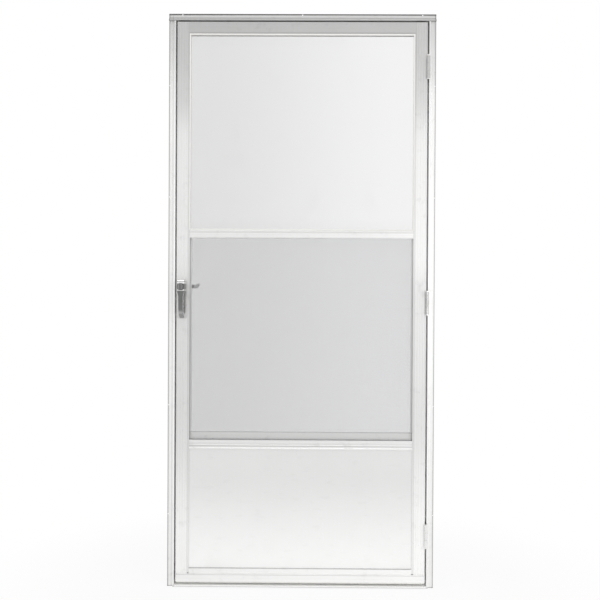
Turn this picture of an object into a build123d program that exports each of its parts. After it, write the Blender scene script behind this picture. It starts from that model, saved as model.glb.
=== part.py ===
"""Self-storing storm door in its nail-fin frame, one solid for every piece.

The origin is the lower middle of the frame on the wall's face. X runs along the wall, Y into
the room and Z up, so the outside of the door looks towards -Y. Lengths are in millimetres.
"""

import os

from build123d import *

# Frame: the sizes that drive everything else
FRAME_WIDTH = 908.0
FRAME_HEIGHT = 1953.0
FIN_REACH = 24.5
WALL = 1.5
HALF_FRAME = FRAME_WIDTH / 2
JAMB_FACE = HALF_FRAME - FIN_REACH
HEAD_FACE = FRAME_HEIGHT - FIN_REACH
NOSE_WIDTH = 6.5
NOSE_FRONT = -9.0
FRAME_BACK = 20.0
STOP_REACH = 15.5
FIN_RIB = (13.5, 15.5, -2.6)
FIN_RIDGE = -3.2
FIN_SLOPE = 5.8
JAMB_TOP = HEAD_FACE - 0.3
BOARD_TOP = 8.0

# Nail holes in the fins
HOLE_RADIUS = 2.2
HOLE_INSET = 3.4
JAMB_HOLE_HEIGHTS = (247.0, 620.0, 1330.0, 1709.0)
HEAD_HOLE_POSITIONS = (-408.0, 0.0, 408.0)

# Leaf: outer size, wall and the lips that hold glass, screen and panel
SIDE_GAP = 5.5
LEAF_HALF = JAMB_FACE - SIDE_GAP
LEAF_TOP = HEAD_FACE - SIDE_GAP
LEAF_FRONT = -12.7
LEAF_BACK = 12.7
LEAF_WALL = 1.4
STILE_FACE = 40.0
LIP_REACH = 4.5
LIP_FRONT = LEAF_FRONT + 1.5
OPENING_HALF = LEAF_HALF - STILE_FACE
LIP_HALF = OPENING_HALF - LIP_REACH
RAIL_HALF = LIP_HALF - 0.2
STILE_BOTTOM = 23.0
FLUTES = (5.0, 14.0, 23.0, 32.0)
FLUTE_RADIUS = 1.0

# Heights of the rails across the leaf
TOP_RAIL_BOTTOM = 1885.0
MEETING_BOTTOM = 1190.5
MEETING_TOP = 1216.5
LOCK_BOTTOM = 471.0
LOCK_TOP = 503.5
BOTTOM_RAIL_TOP = 66.6
BEAD_LINE = 49.6
BEAD_GROOVE = 1.3
EXPANDER_BOTTOM = 20.0
EXPANDER_TOP = 47.0

# Insect screen
SCREEN_SIDE = 5.0
SCREEN_LOW = 515.0
GRID_ACROSS = 6
GRID_TALL = 5
GRID_BAR = 6.0

# Hinges
HINGE_HEIGHTS = {"top": 1771.0, "middle": 972.0, "bottom": 180.0}
HINGE_LENGTH = 76.0
HINGE_X = LEAF_HALF + SIDE_GAP / 2
HINGE_Y = -18.9
KNUCKLE_RADIUS = 5.5
PIN_RADIUS = 2.5
PIN_BORE = 2.55
BUTTON_RADIUS = 4.8
BUTTON_THICK = 3.2
KNUCKLE_COUNT = 3
KNUCKLE_GAP = 0.4
PLATE_THICK = 2.0

# Handle, button and inside latch
HANDLE_X = -405.0
HANDLE_BOTTOM = 915.0
HANDLE_TOP = 1050.0
PLATE_FRONT = LEAF_FRONT - 3.0
HOUSING_FRONT = -56.0
BUTTON_HEIGHT = 1024.0
BUTTON_FRONT = -63.0
BUTTON_WIDTH = 15.0
BUTTON_TALL = 20.0
GRIP_WIDTH = 17.0
HOUSING_WIDTH = 24.0
STEM_X = -403.0
STEM_RADIUS = 2.0
STEM_BORE = 3.0
CASE_LEFT = -408.0
CASE_RIGHT = -382.0
CASE_BACK = 36.0
CASE_BOTTOM = 990.0
CASE_TOP = 1060.0
LEVER_X = -388.5
LEVER_Y = 26.0
LEVER_HEIGHT = 1025.0
LEVER_TIP = -350.0
LEVER_HALF = 6.5
BOLT_BOTTOM = 1003.0
BOLT_TOP = 1014.0


def block(u0, v0, u1, v1, mode=Mode.ADD):
    """Draw a rectangle between two corners in the sketch that is open.

    Args:
        u0, v0: one corner in the sketch.
        u1, v1: the opposite corner.
        mode: whether it adds or cuts.
    """
    with Locations(((u0 + u1) / 2, (v0 + v1) / 2)):
        Rectangle(abs(u1 - u0), abs(v1 - v0), mode=mode)


def save(piece, name):
    """Write one finished piece to its own file under its plain name."""
    piece.label = name
    export_step(piece, f"parts/{name}.step")


def fin_section(section):
    """Draw the nail fin with its rib and sloped ridge, and the hollow rounded nose beside it.

    Args:
        section: the sketch that is open and still empty.
    """
    block(0, NOSE_FRONT, NOSE_WIDTH, 0)
    fillet(section.vertices().sort_by(Axis.Y)[:2], 2.4)
    block(WALL, NOSE_FRONT + WALL, NOSE_WIDTH - WALL, -WALL, mode=Mode.SUBTRACT)
    block(NOSE_WIDTH, -WALL, FIN_REACH, 0)
    block(FIN_RIB[0], FIN_RIB[2], FIN_RIB[1], -WALL)
    crest = FIN_REACH - FIN_SLOPE
    Polygon((crest - 0.8, -WALL), (crest, FIN_RIDGE), (FIN_REACH, -WALL), align=None)


def web_section():
    """Draw the web that lines the opening, behind the fin."""
    block(0, 0, WALL, FRAME_BACK)


def stop_section():
    """Draw the stop leg with the two claws that hold the pile strip."""
    block(-STOP_REACH, FRAME_BACK - WALL, 0, FRAME_BACK)
    for claw, hook in ((-13.7, 1), (-7.9, -1)):
        block(claw, FRAME_BACK - 4.5, claw + hook * 0.8, FRAME_BACK - WALL)
        block(claw, FRAME_BACK - 4.5, claw + hook * 1.6, FRAME_BACK - 3.8)


def jamb(side):
    """Build a jamb.

    Args:
        side: -1 for the latch side, 1 for the hinge side.

    Returns:
        The jamb with its nail holes and its foot cut back over the threshold board.
    """
    start = 0 if side > 0 else JAMB_TOP
    plane = Plane(origin=(side * JAMB_FACE, 0, start), x_dir=(side, 0, 0), z_dir=(0, 0, side))
    with BuildPart() as piece:
        with BuildSketch(plane) as section:
            fin_section(section)
            web_section()
            stop_section()
        extrude(amount=JAMB_TOP)
        with BuildSketch(Plane.XY):
            block(side * (JAMB_FACE - 20), 0, side * (JAMB_FACE + 5), FRAME_BACK + 1)
        extrude(amount=BOARD_TOP, mode=Mode.SUBTRACT)
        with BuildSketch(Plane.XZ):
            with Locations(*[(side * (HALF_FRAME - HOLE_INSET), z) for z in JAMB_HOLE_HEIGHTS]):
                Circle(HOLE_RADIUS)
        extrude(amount=FIN_REACH / 2, both=True, mode=Mode.SUBTRACT)
    return piece.part


def frame_head():
    """Build the head, whose fin and nose run over both jambs."""
    def across(half):
        return Plane(origin=(half, 0, HEAD_FACE), x_dir=(0, 0, 1), z_dir=(-1, 0, 0))

    with BuildPart() as piece:
        with BuildSketch(across(HALF_FRAME)) as section:
            fin_section(section)
        extrude(amount=FRAME_WIDTH)
        with BuildSketch(across(JAMB_FACE + WALL)):
            web_section()
        extrude(amount=2 * (JAMB_FACE + WALL))
        stop_half = JAMB_FACE - STOP_REACH - 0.3
        with BuildSketch(across(stop_half)):
            stop_section()
        extrude(amount=2 * stop_half)
        with BuildSketch(Plane.XZ):
            with Locations(*[(x, FRAME_HEIGHT - HOLE_INSET) for x in HEAD_HOLE_POSITIONS]):
                Circle(HOLE_RADIUS)
        extrude(amount=FIN_REACH / 2, both=True, mode=Mode.SUBTRACT)
    return piece.part


def frame_sill():
    """Build the sill: a sloped deck, a rounded nose, a rear upstand and a lip on the wall."""
    half = JAMB_FACE - 0.3
    with BuildPart() as piece:
        with BuildSketch(Plane.YZ):
            with BuildLine():
                Polyline(
                    (18.5, 26),
                    (FRAME_BACK, 26),
                    (FRAME_BACK, BOARD_TOP),
                    (0, BOARD_TOP),
                    (0, 0),
                    (-2, 0),
                    (-2, 2.4),
                    (-14.5, 2.4),
                )
                RadiusArc((-14.5, 2.4), (-14.5, 7.6), 2.7)
                Polyline((-14.5, 7.6), (17, 11.5), (18.5, 13), (18.5, 26))
            make_face()
            block(-12.6, 4.0, -2, 6.0, mode=Mode.SUBTRACT)
        extrude(amount=half, both=True)
        for side in (-1, 1):
            with BuildSketch(Plane.XY):
                block(side * (JAMB_FACE - STOP_REACH - 0.3), 15.2, side * JAMB_FACE, 21)
            extrude(amount=30, mode=Mode.SUBTRACT)
    return piece.part


def pile_strip(plane, length):
    """Build a pile weatherstrip: a flat back held by the claws and the standing pile."""
    with BuildPart() as piece:
        with BuildSketch(plane):
            block(-12.7, FRAME_BACK - 3.6, -8.9, FRAME_BACK - 1.7)
            block(-11.9, LEAF_BACK + 1.0, -9.7, FRAME_BACK - 3.6)
        extrude(amount=length)
    return piece.part


def stile(side):
    """Build a hollow fluted stile.

    Args:
        side: -1 for the latch side, 1 for the hinge side.

    Returns:
        The stile, with front and back lips along its inner edge.
    """
    def section_plane(bottom, top):
        start = bottom if side < 0 else top
        return Plane(
            origin=(side * LEAF_HALF, 0, start), x_dir=(-side, 0, 0), z_dir=(0, 0, -side)
        )

    with BuildPart() as piece:
        with BuildSketch(section_plane(STILE_BOTTOM, LEAF_TOP)) as section:
            block(0, LEAF_FRONT, STILE_FACE, LEAF_BACK)
            fillet(section.vertices().sort_by(Axis.X)[:2], 1.2)
            with Locations(*[(u, LEAF_FRONT - 0.4) for u in FLUTES]):
                Circle(FLUTE_RADIUS, mode=Mode.SUBTRACT)
            block(
                LEAF_WALL,
                LEAF_FRONT + 1.9,
                STILE_FACE - LEAF_WALL,
                LEAF_BACK - LEAF_WALL,
                mode=Mode.SUBTRACT,
            )
        extrude(amount=LEAF_TOP - STILE_BOTTOM)
        with BuildSketch(section_plane(BEAD_LINE, TOP_RAIL_BOTTOM)):
            block(STILE_FACE, LIP_FRONT, STILE_FACE + LIP_REACH, LIP_FRONT + LEAF_WALL)
            block(STILE_FACE, LEAF_BACK - LEAF_WALL, STILE_FACE + LIP_REACH, LEAF_BACK)
        extrude(amount=TOP_RAIL_BOTTOM - BEAD_LINE)
        if side < 0:
            with BuildSketch(Plane.XZ):
                with Locations((STEM_X, BUTTON_HEIGHT)):
                    Circle(STEM_BORE)
            extrude(amount=FRAME_BACK, both=True, mode=Mode.SUBTRACT)
    return piece.part


def top_rail():
    """Build the top rail, with lips and a slot for the glass along its lower edge."""
    inner_back = LEAF_BACK - LEAF_WALL
    with BuildPart() as piece:
        with BuildSketch(Plane.YZ):
            block(LEAF_FRONT, TOP_RAIL_BOTTOM, LEAF_BACK, LEAF_TOP)
            block(-inner_back, TOP_RAIL_BOTTOM + 9, inner_back, LEAF_TOP - LEAF_WALL, Mode.SUBTRACT)
            block(-2, TOP_RAIL_BOTTOM, 2, TOP_RAIL_BOTTOM + 7.5, mode=Mode.SUBTRACT)
        extrude(amount=OPENING_HALF - 0.1, both=True)
        with BuildSketch(Plane.YZ):
            lip_low = TOP_RAIL_BOTTOM - LIP_REACH
            block(LIP_FRONT, lip_low, LIP_FRONT + LEAF_WALL, TOP_RAIL_BOTTOM)
            block(inner_back, lip_low, LEAF_BACK, TOP_RAIL_BOTTOM)
        extrude(amount=RAIL_HALF, both=True)
    return piece.part


def meeting_rail():
    """Build the rail between glass and screen, with a ridge and a groove along its front."""
    with BuildPart() as piece:
        with BuildSketch(Plane.YZ):
            with BuildLine():
                Polyline(
                    (-11.6, MEETING_BOTTOM),
                    (LEAF_BACK, MEETING_BOTTOM),
                    (LEAF_BACK, MEETING_TOP),
                    (-12.6, MEETING_TOP),
                )
                RadiusArc((-12.6, MEETING_TOP), (-12.6, MEETING_TOP - 3.6), -2.0)
                Polyline(
                    (-12.6, MEETING_TOP - 3.6),
                    (-11.2, MEETING_TOP - 4.2),
                    (-11.2, MEETING_TOP - 9.6),
                    (LEAF_FRONT, MEETING_TOP - 10.4),
                    (LEAF_FRONT, MEETING_BOTTOM + 2.6),
                    (-11.6, MEETING_BOTTOM + 1.6),
                    (-11.6, MEETING_BOTTOM),
                )
            make_face()
            block(-9.8, MEETING_BOTTOM + 1.5, 1.9, MEETING_TOP - 8, mode=Mode.SUBTRACT)
            block(-2, MEETING_TOP - 6.5, 2, MEETING_TOP, mode=Mode.SUBTRACT)
            block(3.4, MEETING_BOTTOM, 9.6, MEETING_BOTTOM + 8, mode=Mode.SUBTRACT)
        extrude(amount=RAIL_HALF, both=True)
    return piece.part


def lock_rail():
    """Build the rail between screen and kick panel: two bright ridges with a grooved band."""
    middle = (LOCK_BOTTOM + LOCK_TOP) / 2
    with BuildPart() as piece:
        with BuildSketch(Plane.YZ):
            with BuildLine():
                Polyline(
                    (-12.2, LOCK_BOTTOM),
                    (LEAF_BACK, LOCK_BOTTOM),
                    (LEAF_BACK, LOCK_TOP),
                    (-12.2, LOCK_TOP),
                )
                RadiusArc((-12.2, LOCK_TOP), (-12.2, LOCK_TOP - 5), -2.9)
                Polyline((-12.2, LOCK_TOP - 5), (-11.2, LOCK_TOP - 6), (-11.2, middle + 1))
                Line((-11.2, middle + 1), (-10.4, middle))
                Line((-10.4, middle), (-11.2, middle - 1))
                Polyline((-11.2, middle - 1), (-11.2, LOCK_BOTTOM + 6), (-12.2, LOCK_BOTTOM + 5))
                RadiusArc((-12.2, LOCK_BOTTOM + 5), (-12.2, LOCK_BOTTOM), -2.9)
            make_face()
            block(-8.2, LOCK_BOTTOM + 8, 11.3, LOCK_TOP - 3, mode=Mode.SUBTRACT)
            block(-9.6, LOCK_BOTTOM, -7.4, LOCK_BOTTOM + 5, mode=Mode.SUBTRACT)
        extrude(amount=RAIL_HALF, both=True)
    return piece.part


def bottom_rail():
    """Build the bottom rail, whose rounded bead shows above the expander."""
    with BuildPart() as piece:
        with BuildSketch(Plane.YZ) as section:
            block(LEAF_FRONT, STILE_BOTTOM, LEAF_BACK, BOTTOM_RAIL_TOP)
            fillet(section.vertices().group_by(Axis.Y)[-1], 4.0)
            block(-11.2, STILE_BOTTOM + 2, 11.2, BOTTOM_RAIL_TOP - 9, mode=Mode.SUBTRACT)
            block(-9.6, BOTTOM_RAIL_TOP - 5, -7.4, BOTTOM_RAIL_TOP, mode=Mode.SUBTRACT)
            with Locations((LEAF_FRONT - 0.4, BEAD_LINE + 1.4)):
                Circle(FLUTE_RADIUS, mode=Mode.SUBTRACT)
        extrude(amount=RAIL_HALF, both=True)
    return piece.part


def kick_panel():
    """Build the sheet panel, with its side edges folded back inside the stiles."""
    half = OPENING_HALF - 0.6
    low = BOTTOM_RAIL_TOP - 4.4
    high = LOCK_BOTTOM + 4.4
    with BuildPart() as piece:
        with BuildSketch(Plane.XY.offset(low)):
            block(-half, -9.0, half, -8.0)
            block(-half, -8.0, -half + 1.0, 4.0)
            block(half - 1.0, -8.0, half, 4.0)
        extrude(amount=high - low)
    return piece.part


def upper_glass():
    """Build the pane, seated in the stiles, the top rail and the meeting rail."""
    low = MEETING_TOP - 6.0
    high = TOP_RAIL_BOTTOM + 7.0
    with BuildPart() as piece:
        with BuildSketch(Plane.XY.offset(low)):
            block(-OPENING_HALF + 1, -1.5, OPENING_HALF - 1, 1.5)
        extrude(amount=high - low)
    return piece.part


def ring(front, back, out_x, in_x, outer_z, inner_z):
    """Add a rectangular ring between two depths to the part that is open.

    Args:
        front: depth of the outside face.
        back: depth of the room face.
        out_x, in_x: outer and inner half width.
        outer_z, inner_z: low and high heights of the outer and inner edges.
    """
    with BuildSketch(Plane.XZ.offset(-back)) as outline:
        block(-out_x, outer_z[0], out_x, outer_z[1])
        block(-in_x, inner_z[0], in_x, inner_z[1], mode=Mode.SUBTRACT)
    extrude(outline.sketch, amount=back - front)


def glazing_bead():
    """Build the vinyl bead that lies on the lips round the glass and runs in to the pane."""
    inner_x = LIP_HALF - 1.2
    low = MEETING_TOP + 0.3
    high = TOP_RAIL_BOTTOM - LIP_REACH
    with BuildPart() as piece:
        ring(
            LIP_FRONT - 1.1,
            LIP_FRONT,
            OPENING_HALF - BEAD_GROOVE,
            inner_x,
            (low, TOP_RAIL_BOTTOM - BEAD_GROOVE),
            (low + 4.6, high - 1.2),
        )
        fillet(piece.faces().sort_by(Axis.Y)[0].edges(), 0.7)
        ring(
            LIP_FRONT,
            -1.6,
            LIP_HALF - 0.2,
            inner_x,
            (low, high - 0.2),
            (low + 1.2, high - 1.2),
        )
    return piece.part


def screen_mesh():
    """Build the insect screen as a thin sheet with a plain grid of openings for its mesh."""
    half = OPENING_HALF - 2.4
    high = MEETING_BOTTOM + 4.0
    clear_half = LIP_HALF - SCREEN_SIDE
    clear_low = 529.0
    pitch_x = 2 * clear_half / GRID_ACROSS
    pitch_z = (MEETING_BOTTOM - clear_low) / GRID_TALL
    with BuildPart() as piece:
        with BuildSketch(Plane.XZ.offset(-6.6)):
            block(-half, SCREEN_LOW, half, high)
            with Locations((0, (clear_low + MEETING_BOTTOM) / 2)):
                with GridLocations(pitch_x, pitch_z, GRID_ACROSS, GRID_TALL):
                    Rectangle(pitch_x - GRID_BAR, pitch_z - GRID_BAR, mode=Mode.SUBTRACT)
        extrude(amount=0.6)
    return piece.part


def screen_bar(low, high, slot_low, slot_high):
    """Build a level bar of the screen's frame, with the slot that takes the mesh."""
    with BuildPart() as piece:
        with BuildSketch(Plane.YZ) as section:
            block(3.6, low, 9.4, high)
            fillet(section.vertices().group_by(Axis.X)[0], 0.8)
            block(5.6, slot_low, 7.0, slot_high, mode=Mode.SUBTRACT)
        extrude(amount=OPENING_HALF - 1, both=True)
    return piece.part


def screen_side(side):
    """Build an upright of the screen's frame, which shows as a narrow band inside the lips."""
    with BuildPart() as piece:
        with BuildSketch(Plane.XY.offset(529.2)):
            inner = LIP_HALF - SCREEN_SIDE
            block(side * inner, 3.6, side * (OPENING_HALF - 1), 9.4)
            block(side * inner, 5.6, side * (OPENING_HALF - 2), 7.0, Mode.SUBTRACT)
        extrude(amount=MEETING_BOTTOM - 529.4)
    return piece.part


def expander():
    """Build the channel that closes the bottom of the leaf, with a rolled upper edge."""
    with BuildPart() as piece:
        with BuildSketch(Plane.YZ):
            block(LEAF_FRONT - 1.6, EXPANDER_BOTTOM, LEAF_BACK + 1.6, EXPANDER_TOP)
            block(
                LEAF_FRONT - 0.3,
                EXPANDER_BOTTOM + 1.3,
                LEAF_BACK + 0.3,
                EXPANDER_TOP,
                mode=Mode.SUBTRACT,
            )
            with Locations((LEAF_FRONT - 1.5, EXPANDER_TOP - 1.0)):
                Circle(1.0)
            with Locations((LEAF_FRONT - 1.9, EXPANDER_BOTTOM + 9)):
                Circle(0.7, mode=Mode.SUBTRACT)
        extrude(amount=LEAF_HALF, both=True)
    return piece.part


def sweep_strip():
    """Build the vinyl sweep: a base under the expander with two hanging fins."""
    with BuildPart() as piece:
        with BuildSketch(Plane.YZ):
            block(-10, EXPANDER_BOTTOM - 1.4, 10, EXPANDER_BOTTOM)
            block(-8.2, EXPANDER_BOTTOM - 5.4, -6.8, EXPANDER_BOTTOM - 1.4)
            block(6.8, EXPANDER_BOTTOM - 3.4, 8.2, EXPANDER_BOTTOM - 1.4)
        extrude(amount=LEAF_HALF - 1.5, both=True)
    return piece.part


def knuckle_span(index):
    """Give the low and high ends of one knuckle, measured from the hinge's lower end."""
    length = (HINGE_LENGTH - KNUCKLE_GAP * (KNUCKLE_COUNT - 1)) / KNUCKLE_COUNT
    low = index * (length + KNUCKLE_GAP)
    return low, low + length


def hinge_half(centre, side):
    """Build one half of a butt hinge.

    Args:
        centre: height of the hinge's middle.
        side: -1 for the half on the door, 1 for the half on the frame.

    Returns:
        The plate in the gap with its knuckles bored for the pin.
    """
    bottom = centre - HINGE_LENGTH / 2
    own = range(1, KNUCKLE_COUNT, 2) if side < 0 else range(0, KNUCKLE_COUNT, 2)
    near = HINGE_X + side * 0.75
    far = HINGE_X + side * (0.75 + PLATE_THICK)
    with BuildPart() as piece:
        with BuildSketch(Plane.XY.offset(bottom)):
            block(near, HINGE_Y + 6.4, far, 8.0)
        extrude(amount=HINGE_LENGTH)
        for index in own:
            low, high = knuckle_span(index)
            with BuildSketch(Plane.XY.offset(bottom + low)):
                with Locations((HINGE_X, HINGE_Y)):
                    Circle(KNUCKLE_RADIUS)
                block(near, HINGE_Y + 3.6, far, HINGE_Y + 6.4)
                with Locations((HINGE_X, HINGE_Y)):
                    Circle(PIN_BORE, mode=Mode.SUBTRACT)
            extrude(amount=high - low)
    return piece.part


def hinge_pin(centre):
    """Build a hinge pin with a flat button at both ends."""
    half = HINGE_LENGTH / 2
    with BuildPart() as piece:
        with BuildSketch(Plane.XY.offset(centre - half - 0.3)):
            with Locations((HINGE_X, HINGE_Y)):
                Circle(PIN_RADIUS)
        extrude(amount=2 * half + 0.6)
        for side in (-1, 1):
            with BuildSketch(Plane.XY.offset(centre + side * (half + 0.3))):
                with Locations((HINGE_X, HINGE_Y)):
                    Circle(BUTTON_RADIUS)
            extrude(amount=side * BUTTON_THICK)
    return piece.part


def handle_plate():
    """Build the handle's rounded back plate."""
    tall = HANDLE_TOP - HANDLE_BOTTOM
    with BuildPart() as piece:
        with BuildSketch(Plane.XZ.offset(-LEAF_FRONT)):
            with Locations((HANDLE_X, (HANDLE_TOP + HANDLE_BOTTOM) / 2)):
                RectangleRounded(34.0, tall, 9.0)
            with Locations((STEM_X, BUTTON_HEIGHT)):
                Circle(STEM_BORE, mode=Mode.SUBTRACT)
        extrude(amount=LEAF_FRONT - PLATE_FRONT)
    return piece.part


def pull_handle():
    """Build the cast pull: a button housing at the top that flows into a bowed grip."""
    grip = GRIP_WIDTH / 2
    housing = HOUSING_WIDTH / 2
    with BuildPart() as piece:
        with BuildSketch(Plane.YZ.offset(HANDLE_X)) as profile:
            with BuildLine():
                Polyline((PLATE_FRONT, 1047), (HOUSING_FRONT, 1047), (HOUSING_FRONT, 986))
                TangentArc((HOUSING_FRONT, 986), (-48, 934), tangent=(0, -1))
                Polyline((-48, 934), (PLATE_FRONT, 917), (PLATE_FRONT, 931), (-37, 937))
                Polyline((-37, 937), (-44, 962), (-43, 992), (-36, 1004), (PLATE_FRONT, 1007))
                Line((PLATE_FRONT, 1007), (PLATE_FRONT, 1047))
            make_face()
            fillet(profile.vertices().sort_by_distance((HOUSING_FRONT, 1047))[0], 9)
            fillet(profile.vertices().sort_by_distance((-48, 934))[0], 14)
            fillet(profile.vertices().sort_by_distance((-37, 937))[0], 7)
            fillet(profile.vertices().sort_by_distance((-44, 962))[0], 30)
            fillet(profile.vertices().sort_by_distance((-36, 1004))[0], 7)
        extrude(amount=16, both=True)
        with BuildSketch(Plane.XZ) as front:
            with BuildLine():
                Polyline(
                    (HANDLE_X - grip, 910),
                    (HANDLE_X + grip, 910),
                    (HANDLE_X + grip, 990),
                    (HANDLE_X + housing, 1008),
                    (HANDLE_X + housing, 1050),
                    (HANDLE_X - housing, 1050),
                    (HANDLE_X - housing, 1008),
                    (HANDLE_X - grip, 990),
                    close=True,
                )
            make_face()
            waist = front.vertices().filter_by(lambda corner: 980 < corner.Y < 1020)
            fillet(waist, 16)
        extrude(amount=80, mode=Mode.INTERSECT)
        rounded = piece.edges().filter_by(lambda edge: edge.bounding_box().min.Y < -44.6)
        fillet(rounded, 2.5)
        with BuildSketch(Plane.XZ.offset(39)):
            with Locations((HANDLE_X, BUTTON_HEIGHT)):
                RectangleRounded(BUTTON_WIDTH + 1, BUTTON_TALL + 1, 5.0)
        extrude(amount=25, mode=Mode.SUBTRACT)
        mouth = piece.faces().filter_by(Axis.Y).sort_by(Axis.Y)[0].inner_wires()[0]
        chamfer(mouth.edges(), 1.2)
        with BuildSketch(Plane.XZ):
            with Locations((STEM_X, BUTTON_HEIGHT)):
                Circle(STEM_BORE)
        extrude(amount=60, mode=Mode.SUBTRACT)
    return piece.part


def push_button():
    """Build the button with a crowned face and the stem that reaches the inside lever."""
    with BuildPart() as piece:
        with BuildSketch(Plane.XZ.offset(45.0)):
            with Locations((HANDLE_X, BUTTON_HEIGHT)):
                RectangleRounded(BUTTON_WIDTH, BUTTON_TALL, 4.5)
        extrude(amount=-BUTTON_FRONT - 45.0)
        chamfer(piece.faces().sort_by(Axis.Y)[0].edges(), 1.6)
        with BuildSketch(Plane.XZ.offset(45.0)):
            with Locations((STEM_X, BUTTON_HEIGHT)):
                Circle(STEM_RADIUS)
        extrude(amount=-(45.0 + LEVER_Y - 2.6))
    return piece.part


def latch_case():
    """Build the hollow case on the inside of the stile, open at its side for the lever."""
    middle_x = (CASE_LEFT + CASE_RIGHT) / 2
    middle_z = (CASE_BOTTOM + CASE_TOP) / 2
    wide = CASE_RIGHT - CASE_LEFT
    tall = CASE_TOP - CASE_BOTTOM
    with BuildPart() as piece:
        with BuildSketch(Plane.XZ.offset(-CASE_BACK)):
            with Locations((middle_x, middle_z)):
                Rectangle(wide, tall)
        extrude(amount=CASE_BACK - LEAF_BACK)
        chamfer(piece.faces().sort_by(Axis.Y)[-1].edges(), 2.0)
        with BuildSketch(Plane.XZ.offset(-CASE_BACK + 2.0)):
            with Locations((middle_x, middle_z)):
                Rectangle(wide - 3.2, tall - 3.2)
        extrude(amount=CASE_BACK - 2.0 - LEAF_BACK, mode=Mode.SUBTRACT)
        with BuildSketch(Plane.YZ.offset(CASE_RIGHT - 4)):
            block(17.0, LEVER_HEIGHT - 9, 31.0, LEVER_HEIGHT + 9)
        extrude(amount=8, mode=Mode.SUBTRACT)
        with BuildSketch(Plane.YZ.offset(CASE_LEFT - 2)):
            block(21.6, BOLT_BOTTOM - 0.6, 30.6, BOLT_TOP + 0.6)
        extrude(amount=5, mode=Mode.SUBTRACT)
    return piece.part


def latch_bolt():
    """Build the bolt, drawn back so that its slanted nose is flush with the case."""
    with BuildPart() as piece:
        with BuildSketch(Plane.XY.offset(BOLT_BOTTOM)):
            with BuildLine():
                Polyline(
                    (CASE_LEFT + 0.2, 30.0),
                    (CASE_LEFT + 0.2, 27.5),
                    (CASE_LEFT + 5.0, 22.0),
                    (CASE_LEFT + 14.0, 22.0),
                    (CASE_LEFT + 14.0, 30.0),
                    close=True,
                )
            make_face()
        extrude(amount=BOLT_TOP - BOLT_BOTTOM)
    return piece.part


def lever_pin():
    """Build the upright pin that the inside lever turns on."""
    with BuildPart() as piece:
        with BuildSketch(Plane.XY.offset(CASE_BOTTOM + 1.8)):
            with Locations((LEVER_X, LEVER_Y)):
                Circle(PIN_RADIUS)
        extrude(amount=CASE_TOP - CASE_BOTTOM - 3.6)
    return piece.part


def inside_lever():
    """Build the lever: a bored hub, an arm behind the button's stem and a tab flared upwards."""
    with BuildPart() as piece:
        with BuildSketch(Plane.XZ.offset(-LEVER_Y - 2)):
            with BuildLine():
                Polyline(
                    (STEM_X - 3.0, LEVER_HEIGHT - LEVER_HALF),
                    (LEVER_TIP - 6, LEVER_HEIGHT - LEVER_HALF),
                    (LEVER_TIP, LEVER_HEIGHT + 3),
                    (LEVER_TIP - 0.5, LEVER_HEIGHT + 11),
                    (LEVER_TIP - 3, LEVER_HEIGHT + 11.5),
                    (LEVER_TIP - 12, LEVER_HEIGHT + LEVER_HALF),
                    (STEM_X - 3.0, LEVER_HEIGHT + LEVER_HALF),
                    close=True,
                )
            make_face()
        extrude(amount=4)
        with BuildSketch(Plane.XY.offset(LEVER_HEIGHT - LEVER_HALF)):
            with Locations((LEVER_X, LEVER_Y)):
                Circle(5.0)
        extrude(amount=2 * LEVER_HALF)
        with BuildSketch(Plane.XY.offset(LEVER_HEIGHT - 20)):
            with Locations((LEVER_X, LEVER_Y)):
                Circle(PIN_BORE)
        extrude(amount=40, mode=Mode.SUBTRACT)
    return piece.part


def strike_plate():
    """Build the strike on the back of the latch jamb's stop."""
    with BuildPart() as piece:
        with BuildSketch(Plane.XZ.offset(-FRAME_BACK - 1.5)):
            with Locations((-(JAMB_FACE - STOP_REACH / 2), LEVER_HEIGHT)):
                Rectangle(STOP_REACH - 1, 56)
                with GridLocations(0, 44, 1, 2):
                    Circle(1.8, mode=Mode.SUBTRACT)
        extrude(amount=1.5)
    return piece.part


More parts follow.
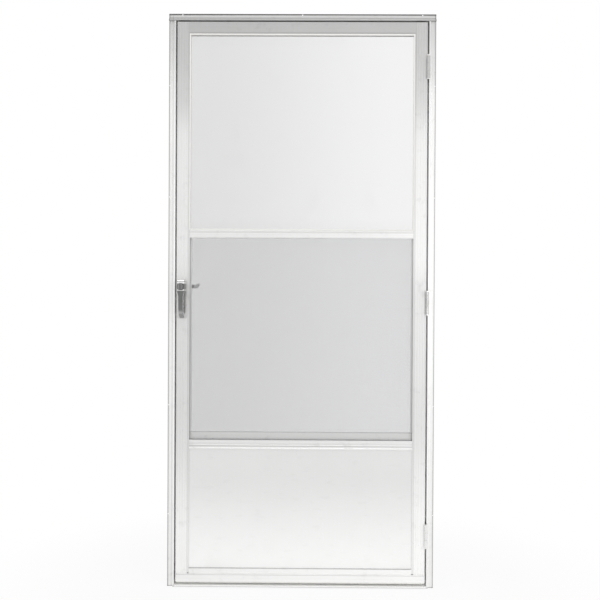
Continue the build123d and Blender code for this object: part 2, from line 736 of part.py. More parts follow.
def main():
    """Build every piece and write it out."""
    os.makedirs("parts", exist_ok=True)
    save(jamb(-1), "latch_jamb")
    save(jamb(1), "hinge_jamb")
    save(frame_head(), "frame_head")
    save(frame_sill(), "frame_sill")
    strip_low = 52.0
    strip_high = JAMB_TOP - 18
    latch_plane = Plane(origin=(-JAMB_FACE, 0, strip_high), x_dir=(-1, 0, 0), z_dir=(0, 0, -1))
    hinge_plane = Plane(origin=(JAMB_FACE, 0, strip_low), x_dir=(1, 0, 0), z_dir=(0, 0, 1))
    save(pile_strip(latch_plane, strip_high - strip_low), "weatherstrip_latch")
    save(pile_strip(hinge_plane, strip_high - strip_low), "weatherstrip_hinge")
    head_half = JAMB_FACE - STOP_REACH - 1
    head_plane = Plane(origin=(head_half, 0, HEAD_FACE), x_dir=(0, 0, 1), z_dir=(-1, 0, 0))
    save(pile_strip(head_plane, 2 * head_half), "weatherstrip_head")
    save(strike_plate(), "strike_plate")
    for place, height in HINGE_HEIGHTS.items():
        save(hinge_half(height, 1), f"hinge_frame_leaf_{place}")
        save(hinge_half(height, -1), f"hinge_door_leaf_{place}")
        save(hinge_pin(height), f"hinge_pin_{place}")
    save(stile(-1), "latch_stile")
    save(stile(1), "hinge_stile")
    save(top_rail(), "top_rail")
    save(meeting_rail(), "meeting_rail")
    save(lock_rail(), "lock_rail")
    save(bottom_rail(), "bottom_rail")
    save(kick_panel(), "kick_panel")
    save(upper_glass(), "upper_glass")
    save(glazing_bead(), "glazing_bead")
    save(screen_mesh(), "screen_mesh")
    save(screen_bar(505.0, 529.0, 514.5, 529.0), "screen_bottom_rail")
    save(screen_bar(MEETING_BOTTOM, MEETING_BOTTOM + 7.5, MEETING_BOTTOM, 1195.0), "screen_top_rail")
    save(screen_side(-1), "screen_side_latch")
    save(screen_side(1), "screen_side_hinge")
    save(expander(), "bottom_expander")
    save(sweep_strip(), "bottom_sweep")
    save(handle_plate(), "handle_plate")
    save(pull_handle(), "pull_handle")
    save(push_button(), "push_button")
    save(latch_case(), "latch_case")
    save(latch_bolt(), "latch_bolt")
    save(lever_pin(), "lever_pin")
    save(inside_lever(), "inside_lever")


main()
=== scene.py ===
"""Dresses the storm door: finishes, screen wires, fasteners, floor, light and camera."""

import logging
import math
from dataclasses import dataclass, field
from enum import Enum
from typing import ClassVar, Mapping, Sequence

import bmesh
import bpy
from mathutils import Matrix, Vector


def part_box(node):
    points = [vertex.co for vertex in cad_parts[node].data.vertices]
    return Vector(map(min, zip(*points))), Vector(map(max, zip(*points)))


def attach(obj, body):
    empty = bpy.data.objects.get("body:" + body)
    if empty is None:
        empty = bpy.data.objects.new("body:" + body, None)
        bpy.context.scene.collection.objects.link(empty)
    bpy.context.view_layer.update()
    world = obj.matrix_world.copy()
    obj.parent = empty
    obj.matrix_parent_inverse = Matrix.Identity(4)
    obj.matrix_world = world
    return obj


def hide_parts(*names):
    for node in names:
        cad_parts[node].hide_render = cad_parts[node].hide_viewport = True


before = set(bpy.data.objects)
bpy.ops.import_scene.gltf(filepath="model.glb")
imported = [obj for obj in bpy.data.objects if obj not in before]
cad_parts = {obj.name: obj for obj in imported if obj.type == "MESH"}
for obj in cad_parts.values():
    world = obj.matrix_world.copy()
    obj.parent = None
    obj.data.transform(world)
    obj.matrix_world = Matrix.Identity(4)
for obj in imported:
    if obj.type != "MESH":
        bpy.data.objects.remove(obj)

log = logging.getLogger("storm_door")

Colour = tuple[float, float, float]
Point = tuple[float, float, float]
Span = tuple[float, float]

INCH = 0.0254
BLACK: Colour = (0.0, 0.0, 0.0)
WHITE = (1.0, 1.0, 1.0, 1.0)

# The middle of a signal that runs from 0 to 1.
MIDDLE = 0.5

# The share of a line's half width that has its full strength.
LINE_CORE = 0.55

# Sockets that share their name with another one on the same node.
TIMES_FIRST, TIMES_SECOND = 0, 1
RANGE_VALUE, RANGE_LOW, RANGE_HIGH = 0, 1, 2
MIX_FACTOR, MIX_FIRST, MIX_SECOND, MIX_RESULT = 0, 6, 7, 2
EITHER_SHARE, EITHER_FIRST, EITHER_SECOND = 0, 1, 2


class Run(Enum):
    """The way that an extrusion's die lines or a sheet's brushing run."""

    UPRIGHT = (1.0, 1.0, 0.004)
    LEVEL = (0.004, 1.0, 1.0)
    NONE = (1.0, 1.0, 1.0)


class Signal:
    """One output of a node. Arithmetic on it adds the Math nodes that work it out."""

    def __init__(self, paint: "Paint", socket: bpy.types.NodeSocket | None) -> None:
        """Keep the paint and the socket, which an output node doesn't have."""
        self.paint = paint
        self.socket = socket

    def _math(self, operation: str, *values: "Number", clamp: bool = False) -> "Signal":
        """Add a Math node.

        Args:
            operation: the Math node's operation.
            values: its inputs, in order.
            clamp: whether the result is kept from 0 to 1.

        Returns:
            The node's result.
        """
        settings = {"operation": operation, "use_clamp": clamp}
        return self.paint.node("ShaderNodeMath", settings, dict(enumerate(values)))

    def __add__(self, other: "Number") -> "Signal":
        """Give self + other."""
        return self._math("ADD", self, other)

    def __radd__(self, other: "Number") -> "Signal":
        """Give other + self."""
        return self._math("ADD", other, self)

    def __sub__(self, other: "Number") -> "Signal":
        """Give self - other."""
        return self._math("SUBTRACT", self, other)

    def __rsub__(self, other: "Number") -> "Signal":
        """Give other - self."""
        return self._math("SUBTRACT", other, self)

    def __mul__(self, other: "Number") -> "Signal":
        """Give self * other."""
        return self._math("MULTIPLY", self, other)

    def __rmul__(self, other: "Number") -> "Signal":
        """Give other * self."""
        return self._math("MULTIPLY", other, self)

    def __pow__(self, power: "Number") -> "Signal":
        """Give self to a power."""
        return self._math("POWER", self, power)

    def near(self, at: float, half: float) -> "Signal":
        """Give 1 at a value, fading to 0 where the signal is half away from it."""
        away = self._math("ABSOLUTE", self - at)
        return away.band(half, half * LINE_CORE)

    def clamped(self) -> "Signal":
        """Keep the value from 0 to 1."""
        return self._math("ADD", self, 0.0, clamp=True)

    def centred(self) -> "Signal":
        """Move the value down, so that its middle is 0."""
        return self - MIDDLE

    def between(self, start: float, end: float) -> "Signal":
        """Give start where the value is 0 and end where it is 1."""
        return start + (end - start) * self

    def band(self, low: float, high: float) -> "Signal":
        """Rise smoothly from 0 at low to 1 at high.

        Args:
            low: where the rise starts.
            high: where it ends. Where it is under low, the value falls instead.

        Returns:
            The smooth step.
        """
        settings = {"interpolation_type": "SMOOTHSTEP"}
        inputs = {RANGE_VALUE: self, RANGE_LOW: low, RANGE_HIGH: high}
        return self.paint.node("ShaderNodeMapRange", settings, inputs)


Number = float | Signal


class Paint:
    """A node tree being filled in, with short calls for the nodes the finishes share."""

    def __init__(self, tree: bpy.types.NodeTree) -> None:
        """Empty the tree and keep it."""
        self.tree = tree
        self.tree.nodes.clear()

    def node(
        self,
        kind: str,
        settings: Mapping[str, object] | None = None,
        inputs: Mapping[object, object] | None = None,
        output: int | str = 0,
    ) -> Signal:
        """Add a node, set its settings and then fill its sockets.

        Args:
            kind: the node's type name.
            settings: its properties, such as an operation.
            inputs: a value or a signal for each named or numbered socket.
            output: the output to give back.

        Returns:
            The chosen output.
        """
        made = self.tree.nodes.new(kind)
        for key, value in (settings or {}).items():
            setattr(made, key, value)
        for key, value in (inputs or {}).items():
            if isinstance(value, Signal):
                self.tree.links.new(value.socket, made.inputs[key])
            else:
                made.inputs[key].default_value = value
        return Signal(self, made.outputs[output] if made.outputs else None)

    def place(self, stretch: Point) -> Signal:
        """Give the point on the piece in metres, stretched along each axis."""
        spot = self.node("ShaderNodeTexCoord", output="Object")
        inputs = {TIMES_FIRST: spot, TIMES_SECOND: stretch}
        return self.node("ShaderNodeVectorMath", {"operation": "MULTIPLY"}, inputs)

    def axis(self, name: str) -> Signal:
        """Give one coordinate of the point on the piece, in metres."""
        spot = self.node("ShaderNodeTexCoord", output="Object")
        return self.node("ShaderNodeSeparateXYZ", inputs={"Vector": spot}, output=name)

    def facing(self, name: str) -> Signal:
        """Give one part of the way that the surface faces, in the piece's own axes."""
        way = self.node("ShaderNodeTexCoord", output="Normal")
        return self.node("ShaderNodeSeparateXYZ", inputs={"Vector": way}, output=name)

    def seen(self) -> Signal:
        """Give 1 for what the camera sees straight, in metal or through the glass."""
        straight, mirrored, through = (
            self.node("ShaderNodeLightPath", output=name)
            for name in ("Is Camera Ray", "Is Glossy Ray", "Is Transmission Ray")
        )
        return (straight + mirrored + through).clamped()

    def mix(self, factor: Number, first: object, second: object) -> Signal:
        """Mix two colours.

        Args:
            factor: 0 for the first, 1 for the second.
            first: a colour or a signal.
            second: a colour or a signal.

        Returns:
            The mixed colour.
        """
        one, two = (
            (*tint, 1.0) if isinstance(tint, tuple) else tint for tint in (first, second)
        )
        inputs = {MIX_FACTOR: factor, MIX_FIRST: one, MIX_SECOND: two}
        return self.node("ShaderNodeMix", {"data_type": "RGBA"}, inputs, output=MIX_RESULT)

    def bump(
        self, height: Signal, distance: float, strength: float = 1.0, under: Signal | None = None
    ) -> Signal:
        """Turn a height into a normal.

        Args:
            height: the height, from 0 to 1.
            distance: how high 1 is, in metres.
            strength: the share of it that shows.
            under: a normal that this one lies on.

        Returns:
            The normal.
        """
        inputs = {"Height": height, "Distance": distance, "Strength": strength}
        if under is not None:
            inputs["Normal"] = under
        return self.node("ShaderNodeBump", inputs=inputs, output="Normal")

    def either(self, share: Number, first: Signal, second: Signal) -> Signal:
        """Mix two shaders, with the second one's share."""
        inputs = {EITHER_SHARE: share, EITHER_FIRST: first, EITHER_SECOND: second}
        return self.node("ShaderNodeMixShader", inputs=inputs)

    def principled(self, inputs: Mapping[object, object]) -> None:
        """Make a Principled BSDF with these inputs the surface."""
        self.surface(self.node("ShaderNodeBsdfPrincipled", inputs=inputs))

    def surface(self, shader: Signal) -> None:
        """Send a shader to the output."""
        self.node("ShaderNodeOutputMaterial", inputs={"Surface": shader})


def shade(colour: Colour, share: float) -> Colour:
    """Scale a colour's brightness."""
    return tuple(channel * share for channel in colour)


def grey(tone: float) -> Colour:
    """Give a neutral colour."""
    return (tone, tone, tone)


@dataclass(frozen=True)
class Layer:
    """Soft noise on a finish: its scale, detail, stretch and the edges that it is cut to."""

    scale: float
    detail: float = 3.0
    stretch: Point = (1.0, 1.0, 1.0)
    edges: Span | None = None

    def over(self, paint: Paint) -> Signal:
        """Lay the noise over the piece.

        Args:
            paint: the material being made.

        Returns:
            The noise from 0 to 1, or a smooth step on it where the layer has edges.
        """
        spot = paint.place(self.stretch)
        inputs = {"Vector": spot, "Scale": self.scale, "Detail": self.detail}
        noise = paint.node("ShaderNodeTexNoise", inputs=inputs)
        return noise if self.edges is None else noise.band(*self.edges)


@dataclass(frozen=True)
class PaintedLight:
    """Painted light and shade on a finish: the share of its brightness at both ends of two bands
    of height.
    """

    top: float
    middle: float
    foot: float
    top_band: Span = (1.94, 1.45)
    foot_band: Span = (0.62, 0.04)
    across: float = 0.0
    across_band: Span = (-0.45, 0.45)
    underside: float = 0.0
    brighter_band: tuple[float, float, float] = (1.0, 0.1, 0.0)
    hidden: float = 0.82
    turned_in: Span = (-0.5, -0.1)
    turned_down: Span = (-0.5, -0.9)

    def share(self, paint: Paint) -> Signal:
        """Give the brightness share over the piece.

        Args:
            paint: the material being made.

        Returns:
            The share, brighter towards +X by the amount across as painted light, and brighter
            round the height of brighter_band by its gain. Faces not turned outside keep the part
            hidden of it, as painted shade. Undersides have the share underside, as painted light
            from below.
        """
        # Painted light and shade: darker at the top, lighter at the foot and towards +X.
        height = paint.axis("Z")
        level = height.band(*self.top_band).between(self.top, self.middle)
        level = level + (self.foot - self.middle) * height.band(*self.foot_band)
        level = level + self.across * paint.axis("X").band(*self.across_band).centred()
        middle, half, gain = self.brighter_band
        level = level + gain * height.near(middle, half)
        # Painted shade on faces turned away from the front.
        level = level * paint.facing("Y").band(*self.turned_in).between(1.0, self.hidden)
        if self.underside == 0.0:
            return level
        # Painted light from below on faces turned down.
        unshaded = paint.facing("Z").band(*self.turned_down)
        return level + unshaded * (self.underside - level)


@dataclass(frozen=True)
class ShadeLine:
    """A thin painted line of shade along a joint or an edge, at one coordinate."""

    axis: str
    at: float
    half: float
    loss: float

    def share(self, paint: Paint) -> Signal:
        """Give the share of brightness that the line leaves."""
        return 1.0 - self.loss * paint.axis(self.axis).near(self.at, self.half)


@dataclass(frozen=True)
class FinShade:
    """Painted shade on the fins' sloped outer edges and over the leaf's gap, darkest at the head.
    """

    side_band: Span = (0.4496, 0.4512)
    side_loss: float = 0.52
    head_band: Span = (1.9472, 1.9488)
    head_loss: float = 0.92
    gap_bottom: Span = (1.9280, 1.9290)
    gap_top: Span = (1.9412, 1.9396)
    gap_loss: float = 0.38

    def share(self, paint: Paint) -> Signal:
        """Give the share of brightness that the painted shade leaves."""
        across = paint.axis("X")
        height = paint.axis("Z")
        low, high = self.side_band
        side = across.band(low, high) + across.band(-low, -high)
        head = height.band(*self.head_band)
        gap = height.band(*self.gap_top) * height.band(*self.gap_bottom)
        left = (1.0 - self.side_loss * side) * (1.0 - self.head_loss * head)
        return left * (1.0 - self.gap_loss * gap)


@dataclass(frozen=True)
class Finish:
    """A named finish. Each kind says how it is put on."""

    name: str

    def make(self) -> bpy.types.Material:
        """Build the material."""
        material = bpy.data.materials.new(self.name)
        material.use_nodes = True
        self.apply(Paint(material.node_tree))
        return material

    def apply(self, paint: Paint) -> None:
        """Put the finish on.

        Args:
            paint: the material being made.
        """
        raise NotImplementedError


@dataclass(frozen=True)
class MillAluminium(Finish):
    """Bare extruded aluminium: die lines, oxide clouds, handling marks, fine scratches and painted
    light and shade.
    """

    run: Run
    # Painted light and shade over the height and across.
    painted_light: PaintedLight
    # Painted shade lines and painted shade on the fin edges.
    painted_shades: tuple[ShadeLine | FinShade, ...] = ()
    colour: Colour = (1.0, 1.0, 0.992)
    metallic: float = 0.55
    # More metallic towards the foot, so it reflects more of the white room: painted light.
    foot_metallic: float = 0.20
    foot_metallic_band: Span = (0.5, 0.05)
    roughness: float = 0.34
    lines_per_metre: float = 1500.0
    line_detail: float = 4.0
    wide_by: float = 9.0
    wide_detail: float = 2.0
    clouds: Layer = Layer(7.0, 4.0)
    marks: Layer = Layer(38.0, 5.0, edges=(0.56, 0.74))
    scratches: Layer = Layer(14.0, 2.0, (60.0, 60.0, 9.0), (0.70, 0.76))
    tone_base: float = 0.89
    wide_tone: float = 0.098
    line_tone: float = 0.063
    cloud_tone: float = 0.063
    mark_loss: float = 0.06
    scratch_gain: float = 0.06
    cloud_rough: float = 0.16
    mark_rough: float = 0.14
    scratch_polish: float = 0.08
    line_rough: float = 0.10
    line_relief: float = 0.6
    wide_relief: float = 0.4
    scratch_cut: float = 0.5
    line_depth: float = 0.000012
    grime_band: Span = (0.35, 0.0)
    grime_edges: Span = (0.42, 0.72)
    grime_colour: Colour = (0.40, 0.38, 0.35)
    grime_cover: float = 0.06
    grime_dulling: float = 0.10
    grime_rough: float = 0.125

    def apply(self, paint: Paint) -> None:
        """Put the finish on."""
        lines = self._lines(paint, self.lines_per_metre, self.line_detail)
        wide = self._lines(paint, self.lines_per_metre / self.wide_by, self.wide_detail)
        clouds = self.clouds.over(paint)
        marks = self.marks.over(paint)
        scratches = self.scratches.over(paint)
        height = paint.axis("Z")
        grime = height.band(*self.grime_band) * clouds.band(*self.grime_edges)
        tone = self.tone_base + self.wide_tone * wide + self.line_tone * lines
        # Painted light and shade in the share.
        share = self.painted_light.share(paint) * (tone + self.cloud_tone * clouds)
        share = share * (1.0 - self.mark_loss * marks) * (1.0 + self.scratch_gain * scratches)
        # Painted shade lines and fin shade darken the colour.
        for painted_shade in self.painted_shades:
            share = share * painted_shade.share(paint)
        colour = paint.mix(share.clamped(), BLACK, self.colour)
        colour = paint.mix(grime * self.grime_cover, colour, self.grime_colour)
        # More metallic at the foot: painted light.
        metallic = self.metallic + self.foot_metallic * height.band(*self.foot_metallic_band)
        rough = self.roughness + self.cloud_rough * clouds.centred() + self.mark_rough * marks
        rough = rough - self.scratch_polish * scratches + self.line_rough * lines.centred()
        relief = self.line_relief * lines + self.wide_relief * wide - self.scratch_cut * scratches
        inputs = {
            "Base Color": colour,
            "Metallic": metallic - self.grime_dulling * grime,
            "Roughness": (rough + self.grime_rough * grime).clamped(),
            "Normal": paint.bump(relief, self.line_depth),
        }
        paint.principled(inputs)

    def _lines(self, paint: Paint, scale: float, detail: float) -> Signal:
        """Give one set of die lines along the extrusion."""
        return Layer(scale, detail, self.run.value).over(paint)


@dataclass(frozen=True)
class SheetAluminium(Finish):
    """Thin flat sheet: rolling grain, slack shallow waves, rubbed marks and painted light."""

    colour: Colour = (1.0, 1.0, 0.994)
    metallic: float = 0.5
    roughness: float = 0.30
    # Painted light: lighter towards the foot.
    painted_light: PaintedLight = PaintedLight(0.79, 0.79, 1.0, foot_band=(0.40, 0.07))
    grain: Layer = Layer(1900.0, stretch=Run.UPRIGHT.value)
    waves: Layer = Layer(3.2, 1.0, (1.0, 1.0, 0.7))
    clouds: Layer = Layer(9.0, 4.0)
    # Rubbed marks that dull the sheet a little.
    rubs_and_highlights: Layer = Layer(24.0, 5.0, (1.0, 1.0, 2.5), (0.57, 0.75))
    tone_base: float = 0.95
    grain_tone: float = 0.045
    cloud_tone: float = 0.055
    rub_loss: float = 0.03
    grain_rough: float = 0.10
    rub_rough: float = 0.12
    grain_depth: float = 0.000006
    wave_depth: float = 0.0022
    wave_strength: float = 0.6
    splash_band: Span = (0.30, 0.06)
    splash_edges: Span = (0.45, 0.70)
    splash_colour: Colour = (0.45, 0.43, 0.40)
    splash_cover: float = 0.06
    splash_rough: float = 0.10

    def apply(self, paint: Paint) -> None:
        """Put the finish on."""
        grain = self.grain.over(paint)
        clouds = self.clouds.over(paint)
        rubs_and_highlights = self.rubs_and_highlights.over(paint)
        splash = paint.axis("Z").band(*self.splash_band) * clouds.band(*self.splash_edges)
        tone = self.tone_base + self.grain_tone * grain + self.cloud_tone * clouds
        # Painted light, lighter towards the foot, in the share.
        share = self.painted_light.share(paint) * tone * (1.0 - self.rub_loss * rubs_and_highlights)
        colour = paint.mix(share.clamped(), BLACK, self.colour)
        colour = paint.mix(splash * self.splash_cover, colour, self.splash_colour)
        rough = self.roughness + self.grain_rough * grain.centred() + self.rub_rough * rubs_and_highlights
        slack = paint.bump(self.waves.over(paint), self.wave_depth, self.wave_strength)
        inputs = {
            "Base Color": colour,
            "Metallic": self.metallic,
            "Roughness": (rough + self.splash_rough * splash).clamped(),
            "Normal": paint.bump(grain, self.grain_depth, under=slack),
        }
        paint.principled(inputs)


@dataclass(frozen=True)
class PaintedHighlight:
    """A band of height painted to another tone: a painted highlight."""

    middle: float
    half: float
    tone: float


@dataclass(frozen=True)
class PaintedSideLight:
    """Faces turned sideways, painted to another tone up to a height: painted light."""

    tone: float
    top: float
    fade: float = 0.004
    turned: float = 0.8


@dataclass(frozen=True)
class PlatedMetal(Finish):
    """Plated or polished hardware with small pits, smudges, painted highlights and painted light.
    """

    colour: Colour
    roughness: float
    pits: Layer = Layer(420.0)
    pit_depth: float = 0.00004
    pit_strength: float = 0.5
    pit_rough: float = 0.08
    smears: Layer = Layer(90.0, 5.0, (1.0, 1.0, 0.4), (0.45, 0.72))
    smear_cover: float = 0.18
    smear_tone: float = 0.6
    smear_rough: float = 0.16
    patches: Layer = Layer(26.0)
    patch_tones: Span = (0.86, 1.12)
    rust: float = 0.0
    rust_spots: Layer = Layer(150.0, 4.0, edges=(0.66, 0.78))
    rust_colour: Colour = (0.22, 0.11, 0.06)
    rust_rough: float = 0.4
    # Painted light over the height.
    painted_light: PaintedLight | None = None
    # Painted highlights in bands of height.
    rubs_and_highlights: tuple[PaintedHighlight, ...] = ()
    highlight_cover: Span = (0.85, 1.0)
    # Painted light on the sideways faces.
    sides: PaintedSideLight | None = None

    def apply(self, paint: Paint) -> None:
        """Put the finish on."""
        pits = self.pits.over(paint)
        smears = self.smears.over(paint)
        rust = self.rust_spots.over(paint) * self.rust
        colour = self._worn_and_lit(paint, smears)
        # Painted light over the height.
        if self.painted_light is not None:
            colour = paint.mix(self.painted_light.share(paint).clamped(), BLACK, colour)
        rough = self.roughness + self.smear_rough * smears + self.pit_rough * pits.centred()
        inputs = {
            "Base Color": paint.mix(rust, colour, self.rust_colour),
            "Metallic": 1.0 - rust,
            "Roughness": (rough + self.rust_rough * rust).clamped(),
            "Normal": paint.bump(pits, self.pit_depth, self.pit_strength),
        }
        paint.principled(inputs)

    def _worn_and_lit(self, paint: Paint, smears: Signal) -> Signal:
        """Give the metal's colour with its patches, smears, painted highlights and painted side
        light.

        Args:
            paint: the material being made.
            smears: where it is smeared.

        Returns:
            The colour.
        """
        patches = self.patches.over(paint)
        height = paint.axis("Z")
        dark, light = (shade(self.colour, tone) for tone in self.patch_tones)
        colour = paint.mix(patches, dark, light)
        dirty = shade(self.colour, self.smear_tone)
        colour = paint.mix(smears * self.smear_cover, colour, dirty)
        # Painted highlights in bands of height.
        for highlight in self.rubs_and_highlights:
            bright = height.near(highlight.middle, highlight.half) * patches.between(*self.highlight_cover)
            colour = paint.mix(bright, colour, grey(highlight.tone))
        # Painted light on the sideways faces under a height.
        if self.sides is not None:
            front = paint.facing("X").near(0.0, self.sides.turned)
            top, fade = self.sides.top, self.sides.fade
            side_light = (1.0 - front) * height.band(top + fade, top - fade)
            colour = paint.mix(side_light, colour, grey(self.sides.tone))
        return colour


@dataclass(frozen=True)
class PaneGlass(Finish):
    """Clear window glass with a faint tint, finger smears and dust along its lower edge."""

    colour: Colour = (0.30, 0.303, 0.303)
    # The opacity from -X to +X: painted light, the pane clearer towards +X.
    opacity: Span = (0.20, 0.08)
    half_width: float = 0.38
    roughness: float = 0.04
    bending: float = 1.5
    smears: Layer = Layer(11.0, 5.0, (1.0, 1.0, 0.6), (0.52, 0.80))
    smear_film: float = 0.015
    smear_rough: float = 0.05
    dust: Layer = Layer(260.0, 4.0, edges=(0.40, 0.65))
    dust_band: Span = (1.2665, 1.2165)
    dust_film: float = 0.05
    film_colour: Colour = (0.80, 0.80, 0.78)
    film_cover: float = 2.0
    film_rough: float = 0.5

    def apply(self, paint: Paint) -> None:
        """Put the finish on."""
        smears = self.smears.over(paint)
        edge = paint.axis("Z").band(*self.dust_band)
        film = self.smear_film * smears + self.dust_film * edge * self.dust.over(paint)
        # Painted light: clearer towards +X.
        across = paint.axis("X").band(-self.half_width, self.half_width)
        inputs = {
            "Base Color": paint.mix(film * self.film_cover, self.colour, self.film_colour),
            "Roughness": self.roughness + self.film_rough * film + self.smear_rough * smears,
            "Alpha": across.between(*self.opacity) + film,
            "IOR": self.bending,
        }
        paint.principled(inputs)


@dataclass(frozen=True)
class SoftVinyl(Finish):
    """Extruded vinyl: faint draw lines, dust in the grain and a slight yellowing in patches."""

    run: Run = Run.NONE
    colour: Colour = (0.90, 0.90, 0.885)
    roughness: float = 0.40
    lines_per_metre: float = 1300.0
    line_depth: float = 0.00003
    line_strength: float = 0.5
    line_rough: float = 0.1
    patches: Layer = Layer(5.0)
    ageing: Colour = (0.96, 0.9456, 0.912)
    dust: Layer = Layer(180.0, 4.0, edges=(0.52, 0.74))
    dust_cover: float = 0.20
    dust_tone: float = 0.74
    dust_rough: float = 0.2

    def apply(self, paint: Paint) -> None:
        """Put the finish on."""
        lines = Layer(self.lines_per_metre, stretch=self.run.value).over(paint)
        dust = self.dust.over(paint)
        aged = tuple(channel * left for channel, left in zip(self.colour, self.ageing))
        colour = paint.mix(self.patches.over(paint), self.colour, aged)
        colour = paint.mix(dust * self.dust_cover, colour, shade(self.colour, self.dust_tone))
        rough = self.roughness + self.dust_rough * dust + self.line_rough * lines.centred()
        inputs = {
            "Base Color": colour,
            "Roughness": rough.clamped(),
            "Normal": paint.bump(lines, self.line_depth, self.line_strength),
        }
        paint.principled(inputs)


@dataclass(frozen=True)
class WovenPile(Finish):
    """Dense woven pile: tufts in rows, painted darker between them as painted shade, dusty at
    their tips.
    """

    colour: Colour = (0.36, 0.36, 0.36)
    roughness: float = 0.80
    sheen: float = 0.4
    tufts: Layer = Layer(900.0, 4.0)
    tuft_tones: Span = (0.45, 1.35)
    tuft_relief: float = 0.7
    rows: Layer = Layer(260.0, 2.0, (1.0, 3.0, 1.0))
    row_relief: float = 0.3
    row_rough: float = 0.2
    depth: float = 0.0007
    strength: float = 0.9
    dust: Layer = Layer(14.0)
    dust_colour: Colour = (0.50, 0.48, 0.45)
    dust_cover: float = 0.4

    def apply(self, paint: Paint) -> None:
        """Put the finish on."""
        tufts = self.tufts.over(paint)
        rows = self.rows.over(paint)
        # The colour follows the tufts' bump, darker where it is low: painted shade between them.
        dark, light = (shade(self.colour, tone) for tone in self.tuft_tones)
        colour = paint.mix(tufts, dark, light)
        colour = paint.mix(self.dust.over(paint) * self.dust_cover, colour, self.dust_colour)
        relief = self.tuft_relief * tufts + self.row_relief * rows
        inputs = {
            "Base Color": colour,
            "Roughness": (self.roughness + self.row_rough * rows).clamped(),
            "Normal": paint.bump(relief, self.depth, self.strength),
            "Sheen Weight": self.sheen,
        }
        paint.principled(inputs)


@dataclass(frozen=True)
class ScreenWire(Finish):
    """Coated insect-screen wire, painted paler towards the hinges as painted light, with dust
    caught here and there.
    """

    colour: Colour = (0.010, 0.011, 0.016)
    # The paler colour towards +X: painted light.
    bright: Colour = (0.36, 0.365, 0.39)
    half_width: float = 0.38
    roughness: float = 0.5
    flecks: Layer = Layer(700.0, 2.0)
    fleck_cover: float = 0.3
    fleck_tone: float = 0.7
    dust: Layer = Layer(8.0, 5.0, edges=(0.40, 0.80))
    dust_colour: Colour = (0.30, 0.29, 0.27)
    dust_cover: float = 0.12
    dust_rough: float = 0.3

    def apply(self, paint: Paint) -> None:
        """Put the finish on."""
        dust = self.dust.over(paint)
        flecks = self.flecks.over(paint) * self.fleck_cover
        # Painted light: the wire paler towards +X.
        across = paint.axis("X").band(-self.half_width, self.half_width)
        colour = paint.mix(across, self.colour, self.bright)
        colour = paint.mix(flecks, colour, shade(self.colour, self.fleck_tone))
        rough = self.roughness + self.dust_rough * dust
        inputs = {
            "Base Color": paint.mix(dust * self.dust_cover, colour, self.dust_colour),
            "Roughness": rough.clamped(),
        }
        paint.principled(inputs)


@dataclass(frozen=True)
class FloorPaint(Finish):
    """Pale paint that shows as white, but near the door keeps some of its shadow."""

    grain: Layer = Layer(3.0)
    tones: Span = (0.85, 0.89)
    white_near: float = 0.86
    white_band: Span = (0.6, 1.35)

    def apply(self, paint: Paint) -> None:
        """Put the finish on."""
        dark, light = (grey(tone) for tone in self.tones)
        colour = paint.mix(self.grain.over(paint), dark, light)
        dull = paint.node("ShaderNodeBsdfDiffuse", inputs={"Color": colour})
        white = paint.node("ShaderNodeEmission", inputs={"Color": WHITE, "Strength": 1.0})
        away = (paint.axis("X") ** 2.0 + paint.axis("Y") ** 2.0) ** 0.5
        share = away.band(*self.white_band).between(self.white_near, 1.0) * paint.seen()
        paint.surface(paint.either(share, dull, white))


def frame_metals() -> tuple[Finish, ...]:
    """List the metal of the outer frame."""
    # Painted light and shade: darker at the top, a little lighter towards +X.
    tone = PaintedLight(0.71, 0.96, 0.95, (1.95, 1.60), (0.9, 0.1), across=0.02)
    # Painted shade lines along the foot and down the latch jamb, and painted shade on the fin
    # edges.
    painted_shades = (ShadeLine("Z", 0.0, 0.0042, 0.40), ShadeLine("X", -0.4400, 0.0020, 0.15), FinShade())
    # A painted shade line along the sill's bottom edge.
    sill_painted_shades = (ShadeLine("Z", 0.0, 0.0050, 0.60),)
    # No painted light or shade.
    unshaded = PaintedLight(1.0, 1.0, 1.0, hidden=1.0)
    return (
        MillAluminium("frame_upright", Run.UPRIGHT, tone, painted_shades),
        MillAluminium("frame_level", Run.LEVEL, tone, painted_shades),
        MillAluminium("sill_metal", Run.LEVEL, unshaded, sill_painted_shades, metallic=0.12, foot_metallic=0.0),
    )


